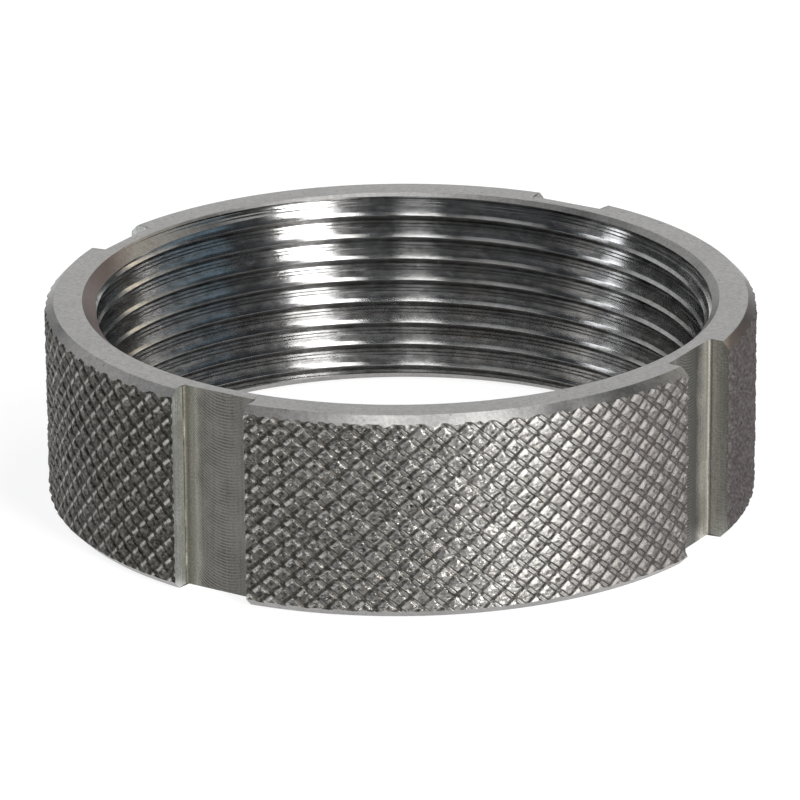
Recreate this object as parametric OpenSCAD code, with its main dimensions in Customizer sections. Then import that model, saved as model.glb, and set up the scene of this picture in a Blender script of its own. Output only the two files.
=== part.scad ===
// Knurled ring nut with an internal fine thread and hook spanner slots.
// The nut stands on its lower face, with the bore axis on Z.

/* [Ring] */
// Wall from the nominal diameter of the thread to the tips of the knurl
ring_wall = 2.5; // [2.2:0.1:10]
// Height between the two flat faces
height = 13; // [9:0.5:24]
// Size of the bevel on both outer edges
edge_bevel = 0.6; // [0.45:0.05:1.2]

/* [Bore] */
// Nominal diameter of the internal thread
thread_d = 40; // [24:0.5:80]
// Pitch of the internal thread
thread_pitch = 1.5; // [0.75:0.25:2]
// Angle around the bore at which the thread groove leaves the lower face
thread_turn = -30; // [-180:5:180]
// How far the bevel at both bore ends opens past the thread
lead_open = 0.1; // [0.05:0.05:0.2]

/* [Spanner slots] */
// Number of slots around the ring
slot_count = 4; // [2:1:8]
// Width of a slot
slot_w = 5.2; // [3:0.1:9]
// Depth of a slot below the tips of the knurl
slot_depth = 1.65; // [0.8:0.05:2]
// Radius in the two floor corners of a slot
slot_corner_r = 0.2; // [0.1:0.05:0.6]

/* [Knurl] */
// Number of diamonds around the ring
knurl_count = 96; // [60:2:110]
// Number of half diamonds between the two bevels
knurl_rows = 18; // [9:1:21]
// Depth of the knurl grooves below the tips
knurl_depth = 0.25; // [0.1:0.05:0.4]

/* [Hidden] */
// Parts that can be drawn alone
// Finish colour of the plain steel
steel = [0.62, 0.61, 0.59];
// Share of the pitch between the nominal and the bore diameter
minor_share = 1.0825;
// Share of the pitch across the root of the thread groove
root_share = 1 / 8;
// Share of the pitch by which the groove cutter reaches into the open bore
reach_share = 1 / 8;
// Angle of each flank from the plane across the axis
flank_angle = 30;
// Steps of the thread groove in one turn, and the corners of its section
turn_n = 40;
section_n = 4;
// Turns by which the groove cutter passes each face
spare_turns = 1;
// Overlap that lets a cutter pass its faces
over = 1;
// Segments of round shapes
round_n = 128;
outer_d = thread_d + 2 * ring_wall;
outer_r = outer_d / 2;
bore_r = (thread_d - minor_share * thread_pitch) / 2;
thread_r = thread_d / 2;
lead_r = thread_r + lead_open;
lead_h = lead_r - bore_r;
face_r = outer_r - edge_bevel;
groove_r = outer_r - knurl_depth;
floor_r = outer_r - slot_depth;
cut_r = bore_r - reach_share * thread_pitch;
root_half = root_share * thread_pitch / 2;
cut_half = root_half + (thread_r - cut_r) * tan(flank_angle);
thread_steps = turn_n * (ceil(height / thread_pitch) + 2 * spare_turns);
cols = 2 * knurl_count;
col_step = 360 / cols;
knurl_h = height - 2 * edge_bevel;
row_step = knurl_h / knurl_rows;

// A point at a column of the knurl, a radius and a height
function at_col(i, r, z) = [r * cos(i * col_step), r * sin(i * col_step), z];
// Tips and groove crossings alternate like a chess board
function is_tip(i, j) = (i + j) % 2 == 1;
function knurl_r(i, j) = is_tip(i, j) ? outer_r : groove_r;
// Point number of a column in a row, the columns closing to a ring
function pt(i, j) = j * cols + (i + cols) % cols;
// Upper and lower half of a diamond around its tip
function up_half(i, j) = [[pt(i, j), pt(i - 1, j), pt(i, j + 1)], [pt(i, j), pt(i, j + 1), pt(i + 1, j)]];
function low_half(i, j) = [[pt(i, j), pt(i, j - 1), pt(i - 1, j)], [pt(i, j), pt(i + 1, j), pt(i, j - 1)]];
// Bevel between two neighbouring rows, halved so that each ridge runs up its tip
function bevel(i, j) = [[pt(i, j), pt(i, j + 1), pt(i + 1, j)], [pt(i + 1, j), pt(i, j + 1), pt(i + 1, j + 1)]];

// Row 0 is the lower face edge, rows 1 to knurl_rows + 1 carry the knurl, the last is the upper face edge
last = knurl_rows + 2;
low_edge = [for (i = [0:cols - 1]) at_col(i, face_r, 0)];
band = [
    for (j = [1:last - 1])
        for (i = [0:cols - 1])
            at_col(i, knurl_r(i, j), edge_bevel + (j - 1) * row_step)
];
high_edge = [for (i = [0:cols - 1]) at_col(i, face_r, height)];
diamonds = [
    for (j = [1:last - 1])
        for (i = [0:cols - 1])
            if (is_tip(i, j))
                each concat(j < last - 1 ? up_half(i, j) : [], j > 1 ? low_half(i, j) : [])
];
bevels = [
    for (j = [0, last - 1])
        for (i = [0:cols - 1])
            each bevel(i, j)
];
low_face = [for (i = [0:cols - 1]) pt(i, 0)];
high_face = [for (i = [0:cols - 1]) pt(cols - 1 - i, last)];

// Solid blank with both bevels and the raised diamonds
module knurled_blank() {
    polyhedron(
        points = concat(low_edge, band, high_edge),
        faces = concat(diamonds, bevels, [low_face, high_face]),
        convexity = 4
    );
}

// Bore at the inner diameter of the thread, opened by a bevel at both ends
module bore() {
    rotate_extrude($fn = round_n)
        polygon([
            [0, -over],
            [lead_r + over, -over],
            [bore_r, lead_h],
            [bore_r, height - lead_h],
            [lead_r + over, height + over],
            [0, height + over]
        ]);
}

// Section of the thread groove at a step of its helix, from the open bore to the root and back
function thread_pt(i, r, half) =
    let (turn = i / turn_n, a = thread_turn + 360 * turn)
    [r * cos(a), r * sin(a), thread_pitch * (turn - spare_turns) + half];
function thread_section(i) = [
    thread_pt(i, cut_r, -cut_half),
    thread_pt(i, thread_r, -root_half),
    thread_pt(i, thread_r, root_half),
    thread_pt(i, cut_r, cut_half)
];
// Two triangles between neighbouring corners of a section and the next section
function thread_side(i, k) =
    let (a = i * section_n + k, b = i * section_n + (k + 1) % section_n)
    [[a, b, b + section_n], [a, b + section_n, a + section_n]];

// Cutter of the thread groove, a right-handed helix that runs out of both faces
module thread_groove() {
    polyhedron(
        points = [for (i = [0:thread_steps]) each thread_section(i)],
        faces = concat(
            [[for (k = [1:section_n]) section_n - k]],
            [for (i = [0:thread_steps - 1]) for (k = [0:section_n - 1]) each thread_side(i, k)],
            [[for (k = [0:section_n - 1]) thread_steps * section_n + k]]
        ),
        convexity = 12
    );
}

// Tool path of one slot, with rounded floor corners
module slot() {
    translate([0, 0, -over])
        linear_extrude(height + 2 * over)
            union() {
                translate([floor_r + slot_corner_r, -slot_w / 2])
                    square([slot_depth + over, slot_w]);
                translate([floor_r, slot_corner_r - slot_w / 2])
                    square([slot_depth + over, slot_w - 2 * slot_corner_r]);
                for (side = [-1, 1])
                    translate([floor_r + slot_corner_r, side * (slot_w / 2 - slot_corner_r)])
                        circle(r = slot_corner_r, $fn = round_n);
            }
}

// The whole nut
module ring_nut() {
    color(steel)
        difference() {
            knurled_blank();
            bore();
            thread_groove();
            for (k = [0:slot_count - 1])
                rotate([0, 0, k * 360 / slot_count])
                    slot();
        }
}

ring_nut();
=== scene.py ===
import math

import bpy
import numpy as np
from mathutils import Matrix, Vector


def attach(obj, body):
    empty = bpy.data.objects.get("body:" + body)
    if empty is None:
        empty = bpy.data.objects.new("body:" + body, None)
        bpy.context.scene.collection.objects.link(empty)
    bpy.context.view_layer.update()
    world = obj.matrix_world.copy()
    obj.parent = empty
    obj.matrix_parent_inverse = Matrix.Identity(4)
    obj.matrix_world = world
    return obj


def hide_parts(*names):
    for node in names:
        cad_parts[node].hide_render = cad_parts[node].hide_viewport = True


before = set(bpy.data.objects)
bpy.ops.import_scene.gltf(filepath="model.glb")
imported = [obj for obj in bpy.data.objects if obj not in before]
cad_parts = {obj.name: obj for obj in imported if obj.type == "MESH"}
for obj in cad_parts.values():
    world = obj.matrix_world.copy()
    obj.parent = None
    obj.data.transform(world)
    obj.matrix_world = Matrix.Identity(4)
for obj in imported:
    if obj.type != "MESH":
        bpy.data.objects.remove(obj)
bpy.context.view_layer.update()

# Sizes of the nut in millimetres
MM = 0.001
R = 22.5
H = 13.0
BEVEL = 0.6
FACE_R = R - BEVEL
MINOR_R = 19.188
THREAD_DEPTH = 0.812
PITCH = 1.5
LEAD_R = 20.1
SLOT_HALF = 2.6
FLOOR_R = 20.85
CORNER_R = 0.2
QUARTER = math.pi / 2
SLOTS = [k * QUARTER for k in range(4)]
UP = np.array([0.0, 0.0, 1.0])
# Twice the area, in square millimetres, under which a triangle is left out
SLIVER = 1e-9


# Mesh helpers
def split(pts, tri, val):
    """Cuts triangles along the line where val is zero.

    Gives the points, the triangles on the low and on the high side, and the points on the line by number.
    """
    high = val > 0
    count = high[tri].sum(1)
    mixed = tri[(count == 1) | (count == 2)]
    one_high = high[mixed].sum(1) == 1
    odd = np.where(one_high, high[mixed].argmax(1), (~high[mixed]).argmax(1))
    rows = np.arange(len(mixed))
    a, b, c = (mixed[rows, (odd + step) % 3] for step in range(3))
    edges = np.sort(np.concatenate([np.stack([a, b], 1), np.stack([a, c], 1)]), axis=1)
    edges, where = np.unique(edges, axis=0, return_inverse=True)
    where = where.reshape(-1)
    share = val[edges[:, 0]] / (val[edges[:, 0]] - val[edges[:, 1]])
    fresh = pts[edges[:, 0]] + share[:, None] * (pts[edges[:, 1]] - pts[edges[:, 0]])
    ab = len(pts) + where[:len(mixed)]
    ac = len(pts) + where[len(mixed):]
    tips = np.stack([a, ab, ac], 1)
    rests = np.concatenate([np.stack([ab, b, c], 1), np.stack([ab, c, ac], 1)])
    twice = np.concatenate([one_high, one_high])
    low_tri = np.concatenate([tri[count == 0], tips[~one_high], rests[twice]])
    high_tri = np.concatenate([tri[count == 3], tips[one_high], rests[~twice]])
    line = np.arange(len(pts), len(pts) + len(fresh))
    return np.concatenate([pts, fresh]), low_tri, high_tri, line


def grid_tris(rows, cols, closed=False):
    """Triangles of a grid of points that is stored row by row."""
    i, j = np.meshgrid(np.arange(rows - 1), np.arange(cols if closed else cols - 1), indexing="ij")
    p = (i * cols + j).ravel()
    q = (i * cols + (j + 1) % cols).ravel()
    return np.concatenate([np.stack([p, q, q + cols], 1), np.stack([p, q + cols, p + cols], 1)])


def facing(pts, tri, outward):
    """Turns triangles over where their normal points against the given direction."""
    normal = np.cross(pts[tri[:, 1]] - pts[tri[:, 0]], pts[tri[:, 2]] - pts[tri[:, 0]])
    against = (normal * outward(pts[tri].mean(1))).sum(1) < 0
    return np.where(against[:, None], tri[:, ::-1], tri)


def polar(radius, theta, z):
    """Points from radius, angle and height."""
    return np.stack([radius * np.cos(theta), radius * np.sin(theta), z], -1)


def slot_axes(angle):
    """The direction out of a slot and the direction across it."""
    radial = np.array([math.cos(angle), math.sin(angle), 0.0])
    across = np.array([-math.sin(angle), math.cos(angle), 0.0])
    return radial, across


def make_piece(name, pts, parts, materials, uv=None, sharp=35.0):
    """A piece of the nut from points in millimetres and one list of triangles for each material."""
    tri = np.concatenate(parts)
    kind = np.repeat(np.arange(len(parts)), [len(p) for p in parts])
    area = np.cross(pts[tri[:, 1]] - pts[tri[:, 0]], pts[tri[:, 2]] - pts[tri[:, 0]])
    real = np.linalg.norm(area, axis=1) > SLIVER
    used, tri = np.unique(tri[real], return_inverse=True)
    tri = tri.reshape(-1, 3)
    mesh = bpy.data.meshes.new(name)
    mesh.vertices.add(len(used))
    mesh.vertices.foreach_set("co", (pts[used] * MM).astype(np.float32).ravel())
    mesh.loops.add(3 * len(tri))
    mesh.loops.foreach_set("vertex_index", tri.astype(np.int32).ravel())
    mesh.polygons.add(len(tri))
    mesh.polygons.foreach_set("loop_start", np.arange(0, 3 * len(tri), 3, dtype=np.int32))
    mesh.polygons.foreach_set("loop_total", np.full(len(tri), 3, dtype=np.int32))
    mesh.polygons.foreach_set("material_index", kind[real].astype(np.int32))
    if uv is not None:
        layer = mesh.uv_layers.new(name="length")
        layer.data.foreach_set("uv", uv[used][tri.ravel()].astype(np.float32).ravel())
    mesh.update(calc_edges=True)
    mesh.validate()
    mesh.polygons.foreach_set("use_smooth", np.ones(len(mesh.polygons), dtype=bool))
    mesh.set_sharp_from_angle(angle=math.radians(sharp))
    for material in materials:
        mesh.materials.append(material)
    piece = bpy.data.objects.new(name, mesh)
    bpy.context.scene.collection.objects.link(piece)
    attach(piece, "root")
    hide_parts("ring_nut")


# Material helpers
class Nodes:
    """A metal whose shader nodes are added one after the other."""

    def __init__(self, name):
        self.material = bpy.data.materials.new(name)
        self.material.use_nodes = True
        self.tree = self.material.node_tree
        self.tree.nodes.clear()
        out = self.add("ShaderNodeOutputMaterial")
        self.bsdf = self.add("ShaderNodeBsdfPrincipled")
        self.bsdf.inputs["Metallic"].default_value = 1.0
        self.link(self.bsdf.outputs["BSDF"], out.inputs["Surface"])
        self.place = self.add("ShaderNodeTexCoord").outputs["Object"]

    def add(self, kind, **values):
        node = self.tree.nodes.new(kind)
        for key, value in values.items():
            setattr(node, key, value)
        return node

    def link(self, a, b):
        self.tree.links.new(a, b)

    def math(self, op, *terms):
        node = self.add("ShaderNodeMath", operation=op)
        for socket, term in zip(node.inputs, terms):
            if isinstance(term, (int, float)):
                socket.default_value = term
            else:
                self.link(term, socket)
        return node.outputs[0]

    def times(self, a, b):
        return self.math("MULTIPLY", a, b)

    def blend(self, *pairs):
        """Sum of values, each times its weight."""
        total = None
        for value, weight in pairs:
            part = self.times(value, weight)
            total = part if total is None else self.math("ADD", total, part)
        return total

    def scaled(self, vector, scale):
        node = self.add("ShaderNodeVectorMath", operation="MULTIPLY")
        self.link(vector, node.inputs[0])
        node.inputs[1].default_value = scale
        return node.outputs[0]

    def noise(self, vector, scale, detail=3.0, rough=0.55):
        """Noise of a scale that counts features to a metre, or to a unit of a scaled vector."""
        node = self.add("ShaderNodeTexNoise")
        self.link(vector, node.inputs["Vector"])
        node.inputs["Scale"].default_value = scale
        node.inputs["Detail"].default_value = detail
        node.inputs["Roughness"].default_value = rough
        return node.outputs["Fac"]

    def range(self, value, low, high, to_low, to_high):
        """Carries the span from low to high over to another span, and stops at its ends."""
        node = self.add("ShaderNodeMapRange")
        self.link(value, node.inputs["Value"])
        for key, v in (("From Min", low), ("From Max", high), ("To Min", to_low), ("To Max", to_high)):
            node.inputs[key].default_value = v
        return node.outputs["Result"]

    def ramp(self, value, *stops):
        node = self.add("ShaderNodeValToRGB")
        self.link(value, node.inputs["Fac"])
        band = node.color_ramp
        while len(band.elements) < len(stops):
            band.elements.new(0.5)
        for element, (place, colour) in zip(band.elements, stops):
            element.position = place
            element.color = (*colour, 1.0)
        return node.outputs["Color"]

    def mix(self, share, a, b):
        node = self.add("ShaderNodeMix", data_type="RGBA")
        self.link(share, node.inputs["Factor"])
        for key, value in (("A", a), ("B", b)):
            socket = next(s for s in node.inputs if s.name == key and s.type == "RGBA")
            if isinstance(value, tuple):
                socket.default_value = (*value, 1.0)
            else:
                self.link(value, socket)
        return next(s for s in node.outputs if s.type == "RGBA")

    def bump(self, height, strength, distance, under=None):
        node = self.add("ShaderNodeBump")
        node.inputs["Strength"].default_value = strength
        node.inputs["Distance"].default_value = distance
        self.link(height, node.inputs["Height"])
        if under is not None:
            self.link(under, node.inputs["Normal"])
        return node.outputs["Normal"]

    def lengths(self):
        """The piece's own map: lengths in millimetres, or on the knurl its painted shade and its flanks with
        a painted highlight.
        """
        return self.add("ShaderNodeUVMap", uv_map="length").outputs["UV"]

    def xyz(self, vector):
        node = self.add("ShaderNodeSeparateXYZ")
        self.link(vector, node.inputs[0])
        return node.outputs

    def finish(self, colour, rough, normal):
        self.link(colour, self.bsdf.inputs["Base Color"])
        self.link(rough, self.bsdf.inputs["Roughness"])
        self.link(normal, self.bsdf.inputs["Normal"])
        return self.material


# Directions around the axis, from the slot on +X: the outer bevel carries a painted reflection toward the
# first, the bore's bevel one opposite the second, and the knurl's painted shade, painted highlights and grey
# end change along the third
OUTER_REFLECTION_ANGLE = math.radians(24)
LEAD_REFLECTION_ANGLE = math.radians(32)
VIEW_RIGHT_ANGLE = math.radians(32)
# Colours of the painted reflections on the two bevels
BROWN_REFLECTION = (0.085, 0.062, 0.058)
RED_REFLECTION = (0.130, 0.082, 0.070)


def turned_steel():
    """Satin turned faces and bevels: fine rings, a fine grain and faint painted reflections on the bevels.
    """
    n = Nodes("turned_steel")
    x, y, z = n.xyz(n.place)
    radius = n.math("SQRT", n.math("ADD", n.times(x, x), n.times(y, y)))
    wobble = n.noise(n.place, 900.0, 2.0)
    rings = n.math("SINE", n.blend((radius, 90000.0), (z, 63000.0), (wobble, 6.0)))
    grain = n.noise(n.place, 4200.0, 4.0, 0.7)
    cloud = n.noise(n.place, 380.0, 4.0, 0.6)
    specks = n.range(n.noise(n.place, 3200.0, 2.0, 0.5), 0.68, 0.76, 0.0, 1.0)
    tone = n.blend((cloud, 0.40), (grain, 0.60), (specks, -0.25))
    colour = n.ramp(
        tone,
        (0.28, (0.170, 0.166, 0.160)),
        (0.47, (0.285, 0.278, 0.270)),
        (0.66, (0.380, 0.371, 0.362)))
    bevel = n.range(radius, FACE_R * MM, (FACE_R + 0.05) * MM, 0.0, 0.06)
    satin = n.range(n.blend((cloud, 1.0), (specks, 0.2)), 0.3, 0.8, 0.34, 0.48)
    rough = n.math("SUBTRACT", satin, bevel)
    # Painted reflection: a brown patch on the outer bevel, on its side toward the first direction
    side = n.blend((x, math.cos(OUTER_REFLECTION_ANGLE)), (y, math.sin(OUTER_REFLECTION_ANGLE)), (cloud, 0.0006))
    bevel_reflection = n.times(n.range(side, 0.0210, 0.0217, 0.0, 0.8), n.range(bevel, 0.0, 0.06, 0.0, 1.0))
    colour = n.mix(bevel_reflection, colour, BROWN_REFLECTION)
    # Painted reflection: a reddish patch on the bore's bevel, on its side away from the second direction
    across = n.blend((x, -math.cos(LEAD_REFLECTION_ANGLE)), (y, -math.sin(LEAD_REFLECTION_ANGLE)), (cloud, 0.0010))
    lead = n.range(radius, (LEAD_R - 0.03) * MM, LEAD_R * MM, 1.0, 0.0)
    lead_reflection = n.times(n.range(across, 0.0175, 0.0192, 0.0, 0.75), lead)
    colour = n.mix(lead_reflection, colour, RED_REFLECTION)
    fine = n.bump(rings, 0.08, 0.000006)
    return n.finish(colour, rough, n.bump(grain, 0.20, 0.00002, fine))


# Colours of the knurl's steel, of its painted shade and painted highlights, and of the grey at one end
WARM_STEEL = (0.200, 0.168, 0.125)
HIGHLIGHT_STEEL = (0.480, 0.463, 0.440)
FLANK_HIGHLIGHT_COLOUR = (0.470, 0.457, 0.438)
GROOVE_SHADE_COLOUR = (0.022, 0.020, 0.017)
NEAR_SLOT_SHADE = (0.050, 0.038, 0.038)
LEFT_SHADE = (0.030, 0.028, 0.022)
RIGHT_END_GREY = (0.110, 0.096, 0.094)


def knurl_steel():
    """Rolled diamonds: rough pitted tops, smoother flanks with a painted highlight, and painted shade in the
    grooves.

    Along one direction it changes: painted shade at one end, then a lighter band of painted highlight, and
    greyer steel at the other end.
    """
    n = Nodes("knurl_steel")
    coarse = n.noise(n.place, 5200.0, 3.0, 0.65)
    fine = n.noise(n.place, 14000.0, 2.0, 0.6)
    cloud = n.noise(n.place, 210.0, 3.0, 0.6)
    tint = n.noise(n.place, 2400.0, 2.0, 0.5)
    deep, flank, _ = n.xyz(n.lengths())
    x, y, _ = n.xyz(n.place)
    reach = n.blend((x, math.cos(VIEW_RIGHT_ANGLE)), (y, math.sin(VIEW_RIGHT_ANGLE)), (cloud, 0.003))
    # Painted highlight on the flanks, strongest toward the left end
    flank_highlight = n.times(flank, n.range(reach, -0.005, 0.014, 1.45, 0.30))
    patch = n.noise(n.place, 3600.0, 2.0, 0.6)
    tone = n.blend((cloud, 0.25), (coarse, 0.55), (fine, 0.20))
    steel = n.ramp(
        tone,
        (0.28, (0.068, 0.065, 0.060)),
        (0.48, (0.195, 0.188, 0.179)),
        (0.68, (0.360, 0.349, 0.334)))
    warm = n.mix(n.range(tint, 0.50, 0.70, 0.0, 0.35), steel, WARM_STEEL)
    # Painted highlight: lighter steel in a band right of the middle, where the key light falls
    mid_highlight = n.times(n.range(reach, 0.002, 0.007, 0.0, 0.25), n.range(reach, 0.012, 0.018, 1.0, 0.30))
    lit_steel = n.mix(mid_highlight, warm, HIGHLIGHT_STEEL)
    with_flank_highlight = n.mix(n.times(flank_highlight, 0.65), lit_steel, FLANK_HIGHLIGHT_COLOUR)
    # Painted shade in patches over the grooves, the wedges' walls and the craters; the deepest groove floors
    # stay pale
    floor = n.range(deep, 0.80, 0.95, 0.0, 1.0)
    patchy_shade = n.times(n.range(deep, 0.25, 0.60, 0.0, 0.90), n.range(patch, 0.36, 0.56, 0.55, 1.0))
    groove_shade = n.times(patchy_shade, n.math("SUBTRACT", 1.0, floor))
    colour = n.mix(groove_shade, with_flank_highlight, GROOVE_SHADE_COLOUR)
    # Painted shade: a dark reddish reflection painted on the knurl next to the slot on +X, in patches
    near_slot_shade = n.times(n.range(y, 0.0022, 0.0032, 0.0, 0.72), n.range(x, 0.016, 0.018, 0.0, 1.0))
    colour = n.mix(n.times(near_slot_shade, n.range(patch, 0.38, 0.58, 0.6, 1.3)), colour, NEAR_SLOT_SHADE)
    # Painted shade toward the left end, in patches; the flanks there keep part of their highlight
    left_shade = n.times(n.range(reach, -0.012, 0.003, 1.0, 0.0), n.range(patch, 0.40, 0.58, 0.35, 0.88))
    spared = n.times(flank, n.range(reach, -0.016, -0.010, 0.45, 1.0))
    left_shade = n.times(left_shade, n.math("SUBTRACT", 1.0, spared))
    colour = n.mix(left_shade, colour, LEFT_SHADE)
    # Greyer, darker steel toward the right end
    colour = n.mix(n.range(reach, 0.010, 0.016, 0.0, 0.46), colour, RIGHT_END_GREY)
    dull = n.range(reach, 0.005, 0.014, 0.0, 0.20)
    rough = n.math("ADD", n.range(n.blend((coarse, 0.7), (fine, 0.3)), 0.3, 0.7, 0.34, 0.50), dull)
    rough = n.math("SUBTRACT", rough, n.times(flank_highlight, 0.10))
    pits = n.bump(coarse, 0.70, 0.00005)
    return n.finish(colour, rough, n.bump(fine, 0.30, 0.00003, pits))


def thread_steel():
    """Cut thread: dark and oily, with scores that follow the turns, so that lights show as upright bands."""
    n = Nodes("thread_steel")
    length = n.lengths()
    scores = n.noise(n.scaled(length, (0.04, 5.0, 1.0)), 1.0, 2.0, 0.5)
    hairs = n.noise(n.scaled(length, (0.02, 9.0, 1.0)), 1.0, 1.0, 0.5)
    smudge = n.noise(n.scaled(length, (1.1, 1.9, 1.0)), 1.0, 5.0, 0.68)
    broad = n.noise(n.scaled(length, (0.09, 0.5, 1.0)), 1.0, 3.0, 0.6)
    tone = n.blend((smudge, 0.62), (broad, 0.38))
    colour = n.ramp(
        tone,
        (0.30, (0.170, 0.162, 0.148)),
        (0.50, (0.310, 0.307, 0.302)),
        (0.68, (0.430, 0.432, 0.432)))
    rough = n.range(n.blend((scores, 0.4), (smudge, 0.6)), 0.3, 0.7, 0.18, 0.28)
    tangent = n.add("ShaderNodeTangent", direction_type="RADIAL", axis="Z")
    n.link(tangent.outputs["Tangent"], n.bsdf.inputs["Tangent"])
    n.bsdf.inputs["Anisotropic"].default_value = 0.9
    n.bsdf.inputs["Anisotropic Rotation"].default_value = 0.25
    cut = n.bump(scores, 0.06, 0.00003)
    return n.finish(colour, rough, n.bump(hairs, 0.04, 0.00001, cut))


# Arcs that the cutter left on a slot's floor, in millimetres: their radius, middle and step
ARC_R = 2.75
ARC_MIDDLE = 0.35
ARC_STEP = 0.20
# Span of the colours across a slot and up its walls, to both sides of their middle
WALL_REACH = 4.4
SPAN_MIDDLE = 0.175
# Colours of the painted shade over the slot on +X, its painted highlight strip and the dark between its
# marks
SLOT_SHADE = (0.06, 0.06, 0.057)
STRIP_HIGHLIGHT = (0.760, 0.732, 0.652)
MARK_DARK = (0.03, 0.03, 0.026)


def milled_steel():
    """Milled slots: arcs of the cutter, upright streaks, painted shade in the corners and a painted
    highlight strip.
    """
    n = Nodes("milled_steel")
    length = n.lengths()
    u, v, _ = n.xyz(length)
    wobble = n.noise(n.place, 1500.0, 2.0)
    side = n.math("SUBTRACT", u, ARC_MIDDLE)
    under = n.math("SUBTRACT", ARC_R * ARC_R, n.times(side, side))
    bow = n.math("SQRT", n.math("MAXIMUM", under, 0.02))
    sweep = n.blend((v, 1.0), (bow, 1.0), (wobble, 0.10))
    arcs = n.math("SINE", n.times(sweep, 2 * math.pi / ARC_STEP))
    patchy = n.range(n.noise(n.scaled(length, (0.7, 0.8, 1.0)), 1.0, 3.0, 0.6), 0.35, 0.65, 0.35, 1.0)
    fades = n.times(n.range(u, 0.1, 1.3, 1.0, 0.22), n.range(u, -2.2, -1.5, 0.06, 1.0))
    marks = n.times(arcs, n.times(patchy, fades))
    grain = n.noise(n.place, 7000.0, 3.0, 0.65)
    streaks = n.noise(n.scaled(length, (5.0, 0.10, 1.0)), 1.0, 3.0, 0.6)
    cloud = n.noise(n.place, 500.0, 3.0, 0.6)
    ragged = n.blend((u, 1.0), (cloud, 0.35))
    place = n.range(ragged, SPAN_MIDDLE - WALL_REACH, SPAN_MIDDLE + WALL_REACH, 0.0, 1.0)

    def at(mm):
        """Share of the span at a length from its middle."""
        return 0.5 + mm / (2 * WALL_REACH)

    # Part of this ramp is painted light: the dark stops at both corners are painted shade, the light warm
    # stops at the foot of the minus-side wall are a painted highlight, and the minus-side wall is painted
    # lighter than the other
    base = n.ramp(
        place,
        (at(-4.2), (0.620, 0.640, 0.625)),
        (at(-2.95), (0.650, 0.660, 0.630)),
        (at(-2.80), (0.700, 0.670, 0.570)),
        (at(-2.66), (0.680, 0.645, 0.540)),
        (at(-2.58), (0.170, 0.164, 0.135)),
        (at(-2.20), (0.240, 0.232, 0.198)),
        (at(-1.75), (0.350, 0.338, 0.300)),
        (at(-1.40), (0.225, 0.218, 0.198)),
        (at(1.60), (0.190, 0.184, 0.172)),
        (at(2.50), (0.240, 0.232, 0.214)),
        (at(2.60), (0.190, 0.184, 0.162)),
        (at(2.90), (0.400, 0.395, 0.365)),
        (at(4.20), (0.440, 0.436, 0.410)))
    x = n.xyz(n.place)[0]
    # Painted highlight: a bright strip on the floor next to the plus-side corner, on the slot on +X only
    strip = n.blend((u, 1.0), (cloud, 0.9), (grain, 0.5))
    strip_highlight = n.times(n.range(strip, 1.65, 2.65, 0.0, 1.0), n.range(u, 2.42, 2.54, 1.0, 0.0))
    # Painted shade over the slot on +X
    x_slot = n.range(x, 0.012, 0.014, 0.0, 1.0)
    base = n.mix(n.times(x_slot, 0.30), base, SLOT_SHADE)
    strip_highlight = n.times(strip_highlight, n.times(x_slot, 0.90))
    base = n.mix(strip_highlight, base, STRIP_HIGHLIGHT)
    shade = n.blend((grain, 0.58), (streaks, 0.40), (marks, 0.24))
    light = n.range(shade, 0.30, 0.60, 0.0, 1.0)
    dark = n.mix(n.range(cloud, 0.3, 0.7, 0.45, 0.72), base, MARK_DARK)
    colour = n.mix(light, dark, base)
    rough = n.range(cloud, 0.3, 0.7, 0.40, 0.55)
    cut = n.bump(marks, 0.60, 0.000014)
    return n.finish(colour, rough, n.bump(grain, 0.16, 0.00002, cut))


TURNED = turned_steel()
KNURLED = knurl_steel()
THREADED = thread_steel()
MILLED = milled_steel()

# Knurl: falling grooves with a flat floor, wide rising wedges, and crumpled tops with craters between them.
# Grooves around the rim, the height in millimetres by which one follows the next, and their depths.
FALLING_N = 95
RISING_N = 101
KNURL_RISE = 1.30
FALLING_DEPTH = 0.17
RISING_DEPTH = 0.15
# Sections of the grooves: shares of the way to the next groove, and of the depth there
FALLING_SHAPE = ([0.0, 0.10, 0.155, 0.22], [0.92, 1.0, 0.50, 0.0])
RISING_SHAPE = ([0.0, 0.03, 0.30], [1.0, 0.95, 0.0])
# Shares of the way to the next groove at which the mesh has points
FALLING_STEPS = [0, 0.05, 0.10, 0.155, 0.22, 0.31, 0.41, 0.50, 0.59, 0.69, 0.78, 0.845, 0.90, 0.95]
RISING_STEPS = [0, 0.03, 0.12, 0.21, 0.30, 0.37, 0.43, 0.50, 0.57, 0.63, 0.70, 0.79, 0.88, 0.97]
# Painted shade on the bright and on the dark wall of a wedge and in the craters.
# A crossing of grooves takes a share off the depth, so that the painted shade covers the floor there.
RISING_SHADE = 0.60
RISING_POWER = 4
WALL_SHADE = 0.60
WALL_GAIN = 3
HOLLOW_DEPTH = 0.12
HOLLOW_MOST = 0.5
CROSS_SHADE = 0.35
# Form of the tops in millimetres: drop, dome and its half width as a share, crumples and roughness
TOP_DROP = 0.02
DOME = 0.030
DOME_HALF = 0.36
CRUMPLE = 0.028
CRUMPLE_N = 3
TOP_ROUGH = 0.015
GROOVE_ROUGH = 0.006
# Spread of the tops' drop and lean from diamond to diamond
TIP_SPREAD = 0.02
LEAN = 0.05
# Two craters in each top: depth in millimetres, size and reach from the middle as shares
CRATERS = ((0.048, 0.18, 0.10), (0.030, 0.12, 0.20))
CRATER_SPREAD = 0.03
CRATER_MOST = 0.13
CRATER_SIZES = (0.6, 1.0)
# Angle from a slot's middle at which the rim's mesh starts, and its spare height past both faces
SECTOR_GAP = 0.09
RIM_SPARE = 0.3
CELLS = 200

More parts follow.
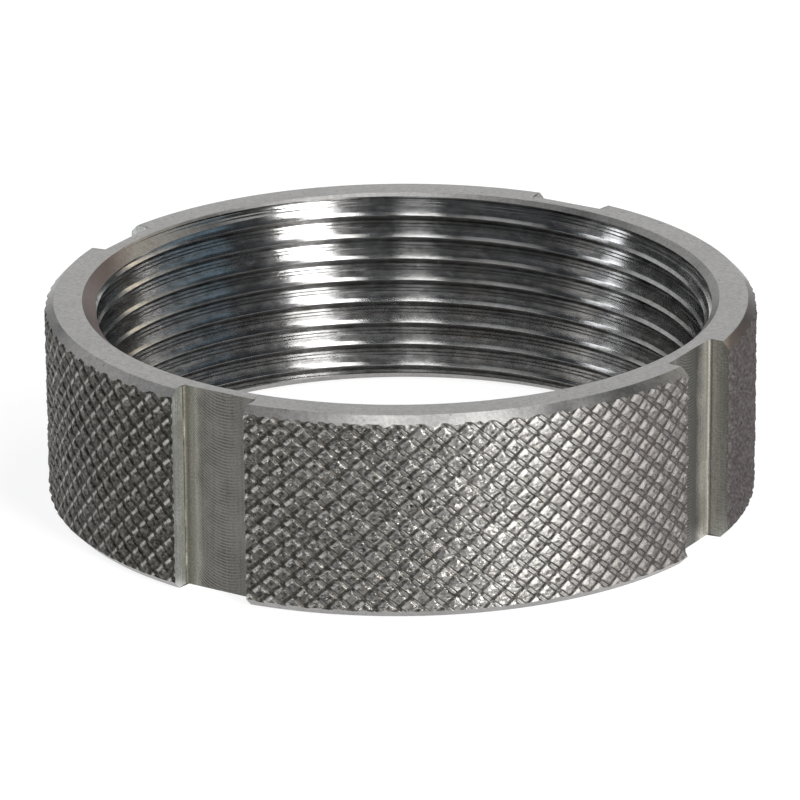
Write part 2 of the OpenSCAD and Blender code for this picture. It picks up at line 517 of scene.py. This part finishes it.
rng = np.random.RandomState(7)
cell_grid = (CELLS, CELLS)
pits = [
    {
        "depth": np.clip(rng.normal(depth, CRATER_SPREAD, cell_grid), 0.0, CRATER_MOST),
        "size": rng.uniform(*CRATER_SIZES, cell_grid) * size,
        "x": rng.uniform(-reach, reach, cell_grid),
        "y": rng.uniform(-reach, reach, cell_grid),
    }
    for depth, size, reach in CRATERS]
tip_drop = np.abs(rng.normal(0.0, TIP_SPREAD, cell_grid))
lean_x = rng.normal(0.0, LEAN, cell_grid)
lean_y = rng.normal(0.0, LEAN, cell_grid)
crumples = rng.normal(0.0, CRUMPLE, (CELLS, CELLS, CRUMPLE_N + 1, CRUMPLE_N + 1))


def groove(share, shape):
    """Depth of a groove at a share of the way to its neighbour, 1 at its deepest."""
    return np.interp(np.abs(share - np.round(share)), *shape)


def crumpled(cell, x, y):
    """Height on the crumpled top of a diamond, between random heights on a small grid."""
    across = np.clip((x + 0.5) * CRUMPLE_N, 0.0, CRUMPLE_N - 1e-6)
    along = np.clip((y + 0.5) * CRUMPLE_N, 0.0, CRUMPLE_N - 1e-6)
    i, j = across.astype(int), along.astype(int)
    near = crumples[(*cell, i, j)] * (1 + i - across) + crumples[(*cell, i + 1, j)] * (across - i)
    far = crumples[(*cell, i, j + 1)] * (1 + i - across) + crumples[(*cell, i + 1, j + 1)] * (across - i)
    return near * (1 + j - along) + far * (along - j)


def knurl_radius(a, b):
    """The knurl at the places a and b across the falling and the rising grooves.

    Gives its radius, how much painted shade it takes, and how much of it is a flank with a painted
    highlight.
    """
    ga, gb = groove(a, FALLING_SHAPE), groove(b, RISING_SHAPE)
    cell = (np.floor(a).astype(int) % CELLS, np.floor(b).astype(int) % CELLS)
    x = a - np.floor(a) - 0.5
    y = b - np.floor(b) - 0.5
    dome = DOME * (x * x + y * y) / DOME_HALF ** 2
    top = lean_x[cell] * x + lean_y[cell] * y - tip_drop[cell] - dome - TOP_DROP + crumpled(cell, x, y)
    crater = np.zeros(a.shape)
    for pit in pits:
        off = ((x - pit["x"][cell]) ** 2 + (y - pit["y"][cell]) ** 2) / pit["size"][cell] ** 2
        crater = crater + pit["depth"][cell] * np.exp(-off ** 1.5)
    deepest = np.maximum(ga, gb)
    on_top = 1 - deepest
    cut = np.maximum(FALLING_DEPTH * ga, RISING_DEPTH * gb)
    bumps = on_top * rng.normal(0.0, TOP_ROUGH, a.shape)
    rough = bumps - (1 - on_top) * rng.uniform(0.0, GROOVE_ROUGH, a.shape)
    # Painted shade in the craters, on both walls of a wedge, and in the falling grooves, less where grooves
    # cross
    hollow = on_top * np.clip(crater / HOLLOW_DEPTH, 0.0, HOLLOW_MOST)
    on_wall = np.minimum(WALL_GAIN * gb, 1.0)
    wall = np.where(y > 0, WALL_SHADE * on_wall, RISING_SHADE * gb ** RISING_POWER)
    shade = np.maximum(np.maximum(ga * (1 - CROSS_SHADE * gb), wall), hollow)
    flank = np.where(y < 0, on_wall, 0.0) * (1 - ga)
    return np.minimum(R - cut + on_top * (top - crater) + rough, R), shade, flank


def groove_places(low, high, steps):
    """Places of the mesh's lines across the grooves from low to high."""
    whole = np.arange(math.floor(low), math.ceil(high))
    return (whole[:, None] + np.array(steps)[None, :]).ravel()


def knurl_sector(k):
    """The rim between two slots. Gives the edges that it shares with the two slots."""
    start, stop = SLOTS[k], SLOTS[k] + QUARTER
    turn = np.array([start + SECTOR_GAP, stop - SECTOR_GAP]) / (2 * math.pi)
    rise = np.array([-RIM_SPARE, H + RIM_SPARE]) / KNURL_RISE
    s1 = groove_places(FALLING_N * turn[0] + rise[0], FALLING_N * turn[1] + rise[1], FALLING_STEPS)
    s2 = groove_places(RISING_N * turn[0] - rise[1], RISING_N * turn[1] - rise[0], RISING_STEPS)
    g1, g2 = (g.ravel() for g in np.meshgrid(s1, s2, indexing="ij"))
    around = (g1 + g2) / (FALLING_N + RISING_N)
    z = KNURL_RISE * (g1 - FALLING_N * around)
    theta = 2 * math.pi * around
    tri = grid_tris(len(s1), len(s2))
    tz, tt = z[tri], around[tri]
    tri = tri[(tz.max(1) > 0) & (tz.min(1) < H) & (tt.max(1) > turn[0]) & (tt.min(1) < turn[1])]
    pts = np.stack([theta, z, *knurl_radius(g1, g2)], 1)
    pts, tri, _, _ = split(pts, tri, pts[:, 1] - H)
    pts, tri, _, _ = split(pts, tri, -pts[:, 1])
    cone = FACE_R + np.minimum(H - pts[:, 1], pts[:, 1])
    pts, low, high, _ = split(pts, tri, pts[:, 2] - cone)
    cone = FACE_R + np.minimum(H - pts[:, 1], pts[:, 1])
    radius = np.minimum(pts[:, 2], cone)
    rim = np.column_stack([polar(radius, pts[:, 0], pts[:, 1]), pts[:, 3:]])
    parts = [low, high]
    edges = []
    for side, angle in ((1, start), (-1, stop)):
        across = side * rim[:, :3] @ slot_axes(angle)[1] - SLOT_HALF
        kept, fresh = [], []
        for part in parts:
            cut_pts, _, keep, line = split(rim, part, across)
            kept.append(np.where(keep >= len(rim), keep + sum(len(f) for f in fresh), keep))
            fresh.append(cut_pts[line])
        edge = np.concatenate(fresh)
        edges.append((angle, side, edge[np.argsort(edge[:, 2]), :3]))
        rim = np.concatenate([rim, edge])
        parts = kept
    parts = [facing(rim[:, :3], part, lambda c: c * (1, 1, 0)) for part in parts]
    make_piece("knurled_rim_%d" % k, rim[:, :3], parts, [KNURLED, TURNED], rim[:, 3:], sharp=30.0)
    return edges


slot_edges = [edge for k in range(len(SLOTS)) for edge in knurl_sector(k)]


# Slots: walls up to the rim, rounded corners and floor, and the points along each
CORNER_POINTS = 7
WALL_POINTS = 5
FLOOR_POINTS = 33
FLOOR_ROWS = 53


def slot_section(steps):
    """Across and outward places along a slot's floor and its two corners, from one wall to the other."""
    turn = np.linspace(0, QUARTER, CORNER_POINTS)
    corner_x = -SLOT_HALF + CORNER_R * (1 - np.cos(turn))
    corner_r = FLOOR_R + CORNER_R * (1 - np.sin(turn))
    corner = np.stack([corner_x, corner_r], 1)
    flat = np.linspace(corner_x[-1], -corner_x[-1], steps)[1:-1]
    return np.concatenate([corner, np.stack([flat, np.full(len(flat), FLOOR_R)], 1), corner[::-1] * (-1, 1)])


def slot_wall(angle, side, edge):
    """One wall, from the edge that the knurl leaves to the floor's corner."""
    radial, across = slot_axes(angle)
    edge = edge[np.concatenate([[True], np.diff(edge[:, 2]) > 1e-6])]
    z = edge[:, 2]
    shares = np.linspace(0, 1, WALL_POINTS)[:, None]
    out = edge @ radial + (FLOOR_R + CORNER_R - edge @ radial) * shares
    z = np.broadcast_to(z, out.shape)
    pts = (out[..., None] * radial + side * SLOT_HALF * across + z[..., None] * UP).reshape(-1, 3)
    tri = facing(pts, grid_tris(*out.shape), lambda c: np.broadcast_to(-side * across, c.shape))
    return pts, tri, np.stack([side * (SLOT_HALF + out - FLOOR_R).ravel(), z.ravel()], 1)


def slot_floor(angle):
    """The floor with its two corners, from the lower to the upper face."""
    radial, across = slot_axes(angle)
    line = slot_section(FLOOR_POINTS)
    z = np.linspace(0, H, FLOOR_ROWS)
    line_3d = line[:, 1, None] * radial + line[:, 0, None] * across
    pts = (line_3d[:, None] + z[None, :, None] * UP).reshape(-1, 3)
    tri = facing(pts, grid_tris(len(line), len(z)), lambda c: np.broadcast_to(radial, c.shape))
    return pts, tri, np.stack([np.repeat(line[:, 0], len(z)), np.tile(z, len(line))], 1)


surfaces = [slot_wall(*edge) for edge in slot_edges] + [slot_floor(angle) for angle in SLOTS]
first = np.cumsum([0] + [len(pts) for pts, _, _ in surfaces])
slot_pts = np.concatenate([pts for pts, _, _ in surfaces])
slot_tris = np.concatenate([tri + first[i] for i, (_, tri, _) in enumerate(surfaces)])
slot_uv = np.concatenate([uv for _, _, uv in surfaces])
make_piece("spanner_slots", slot_pts, [slot_tris], [MILLED], slot_uv, sharp=40.0)


# Upper and lower faces, following the slots, and the points along each stretch of their outline
NOTCH_POINTS = 17
ARC_POINTS = 150
FACE_RINGS = 6


def face_rings():
    """Points around the outer outline of a face, and the points of the bore's mouth that they join."""
    outline, mouth = [], []
    edge = math.asin(SLOT_HALF / FACE_R)
    for angle in SLOTS:
        radial, across = slot_axes(angle)
        line = slot_section(NOTCH_POINTS)
        outline.append(line[:, 1, None] * radial + line[:, 0, None] * across)
        mouth.append(angle + np.linspace(-edge, edge, len(line) + 2)[1:-1])
        arc = angle + np.linspace(edge, QUARTER - edge, ARC_POINTS)
        outline.append(polar(FACE_R, arc, np.zeros(len(arc))))
        mouth.append(arc)
    mouth = np.concatenate(mouth)
    return np.concatenate(outline), polar(LEAD_R, mouth, np.zeros(len(mouth)))


outline, mouth = face_rings()
shares = np.linspace(0, 1, FACE_RINGS)[:, None, None]
flat = mouth + (outline - mouth) * shares
tri = grid_tris(len(shares), len(outline), True)
upper, lower = (flat.reshape(-1, 3) + z * UP for z in (H, 0.0))
upper_tri = facing(upper, tri, lambda c: np.broadcast_to(UP, c.shape))
lower_tri = facing(lower, tri, lambda c: np.broadcast_to(-UP, c.shape)) + len(upper)
face_tris = np.concatenate([upper_tri, lower_tri])
make_piece("turned_faces", np.concatenate([upper, lower]), [face_tris], [TURNED])

# Internal thread: a right-handed turn whose crests carry a small lip, opened by a bevel at both ends.
# Its section runs upward from the lip, as shares of the pitch and of the depth.
# The tool left steps on the upper flank.
LIP = [(-0.125, 0.0), (-0.115, 0.0), (0.0, 0.19), (0.02, 0.21)]
LAND = (0.19, 0.28)
ROOT = (0.5, 1.0)
LOWER_FLANK = [(0.59, 0.912), (0.72, 0.496), (0.85, 0.08), (0.868, 0.02)]
FLANK_STEPS = 3
STEP_RISE = 0.9
STEP_RUN = 0.2
# Steps of the mesh around the bore, and the angle at which the groove leaves the lower face
AROUND = 320
THREAD_TURN = math.radians(-30)
THREAD_START = -0.5 - THREAD_TURN / (2 * math.pi)


def flank_steps():
    """The upper flank as steps, each with a steep front that leans back a little."""
    start = np.array(LAND)
    step = (np.array(ROOT) - start) / FLANK_STEPS
    front = step * (STEP_RISE, STEP_RUN)
    feet = [start + step * k for k in range(FLANK_STEPS)]
    return [tuple(corner) for foot in feet for corner in (foot, foot + front)]


def internal_thread():
    """The turns between the two faces, cut off by the bevels at the bore's mouths."""
    profile = np.array(LIP + flank_steps() + [ROOT] + LOWER_FLANK)
    turns = math.ceil(H / PITCH) + 3
    phase = np.concatenate([profile[:, 0] + t for t in range(turns)]) - 2 + THREAD_START
    radius = MINOR_R + THREAD_DEPTH * np.tile(profile[:, 1], turns)
    run = np.concatenate([[0], np.cumsum(np.hypot(np.diff(phase) * PITCH, np.diff(radius)))])
    theta = np.linspace(0, 2 * math.pi, AROUND + 1)
    z = PITCH * (phase[:, None] + theta[None, :] / (2 * math.pi))
    columns = [np.broadcast_to(c, z.shape).ravel() for c in (theta, z, radius[:, None], run[:, None])]
    pts = np.stack(columns, 1)
    tri = grid_tris(len(phase), AROUND + 1)
    tz = pts[tri, 1]
    tri = tri[(tz.max(1) > 0) & (tz.min(1) < H)]
    pts, tri, _, _ = split(pts, tri, pts[:, 1] - H)
    pts, tri, _, _ = split(pts, tri, -pts[:, 1])
    lead = LEAD_R - np.minimum(H - pts[:, 1], pts[:, 1])
    pts, low, high, _ = split(pts, tri, lead - pts[:, 2])
    lead = LEAD_R - np.minimum(H - pts[:, 1], pts[:, 1])
    xyz = polar(np.maximum(pts[:, 2], lead), pts[:, 0], pts[:, 1])
    uv = np.stack([pts[:, 0] * MINOR_R, pts[:, 3]], 1)
    parts = [facing(xyz, part, lambda c: c * (-1, -1, 0)) for part in (low, high)]
    make_piece("internal_thread", xyz, parts, [THREADED, TURNED], uv, sharp=28.0)


internal_thread()


# Stage: how bright the paper is, what of it takes the shadow, and what glows for the camera and the steel
PAPER_WHITE = 0.80
PAPER_SHADED = 0.25
PAPER_GLOW = 0.84


def paper_floor():
    """White paper that keeps a soft shadow, and that the steel mirrors as white too."""
    paper = bpy.data.materials.new("paper_floor")
    paper.use_nodes = True
    tree = paper.node_tree
    tree.nodes.clear()

    def add(kind, **values):
        node = tree.nodes.new(kind)
        for key, value in values.items():
            setattr(node, key, value)
        return node

    out = add("ShaderNodeOutputMaterial")
    plain = add("ShaderNodeBsdfDiffuse")
    plain.inputs["Color"].default_value = (PAPER_WHITE, PAPER_WHITE, PAPER_WHITE, 1)
    shaded = add("ShaderNodeBsdfDiffuse")
    shaded.inputs["Color"].default_value = (PAPER_SHADED, PAPER_SHADED, PAPER_SHADED, 1)
    glow = add("ShaderNodeEmission")
    glow.inputs["Strength"].default_value = PAPER_GLOW
    white = add("ShaderNodeAddShader")
    path = add("ShaderNodeLightPath")
    mirrored = add("ShaderNodeMath", operation="MAXIMUM")
    seen = add("ShaderNodeMath", operation="MAXIMUM")
    choose = add("ShaderNodeMixShader")
    for a, b in (
            (path.outputs["Is Glossy Ray"], mirrored.inputs[0]),
            (path.outputs["Is Transmission Ray"], mirrored.inputs[1]),
            (mirrored.outputs[0], seen.inputs[0]),
            (path.outputs["Is Camera Ray"], seen.inputs[1]),
            (shaded.outputs[0], white.inputs[0]),
            (glow.outputs[0], white.inputs[1]),
            (seen.outputs[0], choose.inputs["Fac"]),
            (plain.outputs[0], choose.inputs[1]),
            (white.outputs[0], choose.inputs[2]),
            (choose.outputs[0], out.inputs["Surface"])):
        tree.links.new(a, b)
    return paper


# The floor lies a little under the nut, so that it isn't flush with the lower face
FLOOR_REACH = 3.0
FLOOR_DROP = 0.00002
floor_mesh = bpy.data.meshes.new("floor")
corners = [(x * FLOOR_REACH, y * FLOOR_REACH, -FLOOR_DROP) for x, y in ((-1, -1), (1, -1), (1, 1), (-1, 1))]
floor_mesh.from_pydata(corners, [], [(0, 1, 2, 3)])
floor_mesh.materials.append(paper_floor())
floor = bpy.data.objects.new("floor", floor_mesh)
bpy.context.scene.collection.objects.link(floor)

# Camera, from the photograph's view: turned from the slot on +X and raised over the upper face
PICTURE = 800.0
AZIMUTH = math.radians(31.78)
ELEVATION = math.radians(20.31)
ROLL = math.radians(-0.37)
FOCAL_PX = 6307.0
DISTANCE = 17.79 * R * MM
AIM_DOWN_PX = 9.95
AIM_LEFT_PX = 1.3
SENSOR = 36.0
centre = Vector((0, 0, H / 2 * MM))
z_axis = Vector((0, 0, 1))
right = Vector((math.cos(AZIMUTH), math.sin(AZIMUTH), 0))
ahead = Vector((-math.sin(AZIMUTH), math.cos(AZIMUTH), 0))
view = ahead * math.cos(ELEVATION) - z_axis * math.sin(ELEVATION)
above = right.cross(view)
aim = (view - above * (AIM_DOWN_PX / FOCAL_PX) - right * (AIM_LEFT_PX / FOCAL_PX)).normalized()
lens = bpy.data.cameras.new("camera")
lens.sensor_width = SENSOR
lens.lens = SENSOR * FOCAL_PX / PICTURE
lens.clip_start = 0.01
camera = bpy.data.objects.new("camera", lens)
turned = aim.to_track_quat("-Z", "Y").to_matrix().to_4x4() @ Matrix.Rotation(ROLL, 4, "Z")
camera.matrix_world = Matrix.Translation(centre - view * DISTANCE) @ turned
bpy.context.scene.collection.objects.link(camera)
bpy.context.scene.camera = camera


# Studio light, placed by direction from the nut as the camera sees it: to the right, ahead and up
def panel(name, direction, distance, width, length, level, colour=(1, 1, 1)):
    """A soft panel that faces the nut. A level of 1 is as bright as white paper."""
    toward = (right * direction[0] + ahead * direction[1] + z_axis * direction[2]).normalized()
    lamp = bpy.data.lights.new(name, "AREA")
    lamp.shape = "RECTANGLE"
    lamp.size = width
    lamp.size_y = length
    lamp.energy = level * math.pi * width * length
    lamp.color = colour
    holder = bpy.data.objects.new(name, lamp)
    turn = (-toward).to_track_quat("-Z", "Y").to_matrix().to_4x4()
    holder.matrix_world = Matrix.Translation(centre + toward * distance) @ turn
    bpy.context.scene.collection.objects.link(holder)


panel("key", (0.50, -0.70, 0.51), 1.0, 0.26, 1.20, 10.0)
panel("key_top", (0.29, 0.0, 0.957), 1.0, 0.60, 0.16, 4.0)
panel("low_right", (0.60, -0.79, 0.085), 0.7, 0.22, 0.09, 56.0)
panel("front", (-0.09, -0.86, 0.50), 1.0, 0.18, 0.35, 2.0)
panel("front_top", (-0.07, -0.37, 0.93), 1.0, 0.18, 0.24, 7.5)
panel("left_top", (-0.42, -0.30, 0.86), 1.0, 0.40, 0.40, 0.9)
panel("back", (0.0, 0.94, 0.34), 1.2, 1.3, 0.65, 1.3)
panel("back_left", (-0.72, 0.50, 0.48), 1.0, 0.60, 0.50, 0.9)
panel("back_right", (0.72, 0.50, 0.48), 1.0, 0.50, 0.50, 0.5)
panel("right_fill", (0.95, -0.05, 0.30), 1.0, 0.60, 0.40, 0.55, (0.45, 0.75, 1.0))
panel("right_strip", (0.70, 0.53, 0.48), 1.0, 0.10, 0.70, 2.6, (1.0, 0.87, 0.64))
panel("left_strip", (-0.93, -0.03, 0.36), 1.0, 0.12, 0.70, 6.0, (0.95, 0.97, 1.0))

world = bpy.data.worlds.new("studio")
world.use_nodes = True
sky = world.node_tree.nodes["Background"]
sky.inputs["Color"].default_value = (0.78, 0.90, 1.0, 1)
sky.inputs["Strength"].default_value = 0.07
bpy.context.scene.world = world
bpy.context.scene.view_settings.view_transform = "Standard"
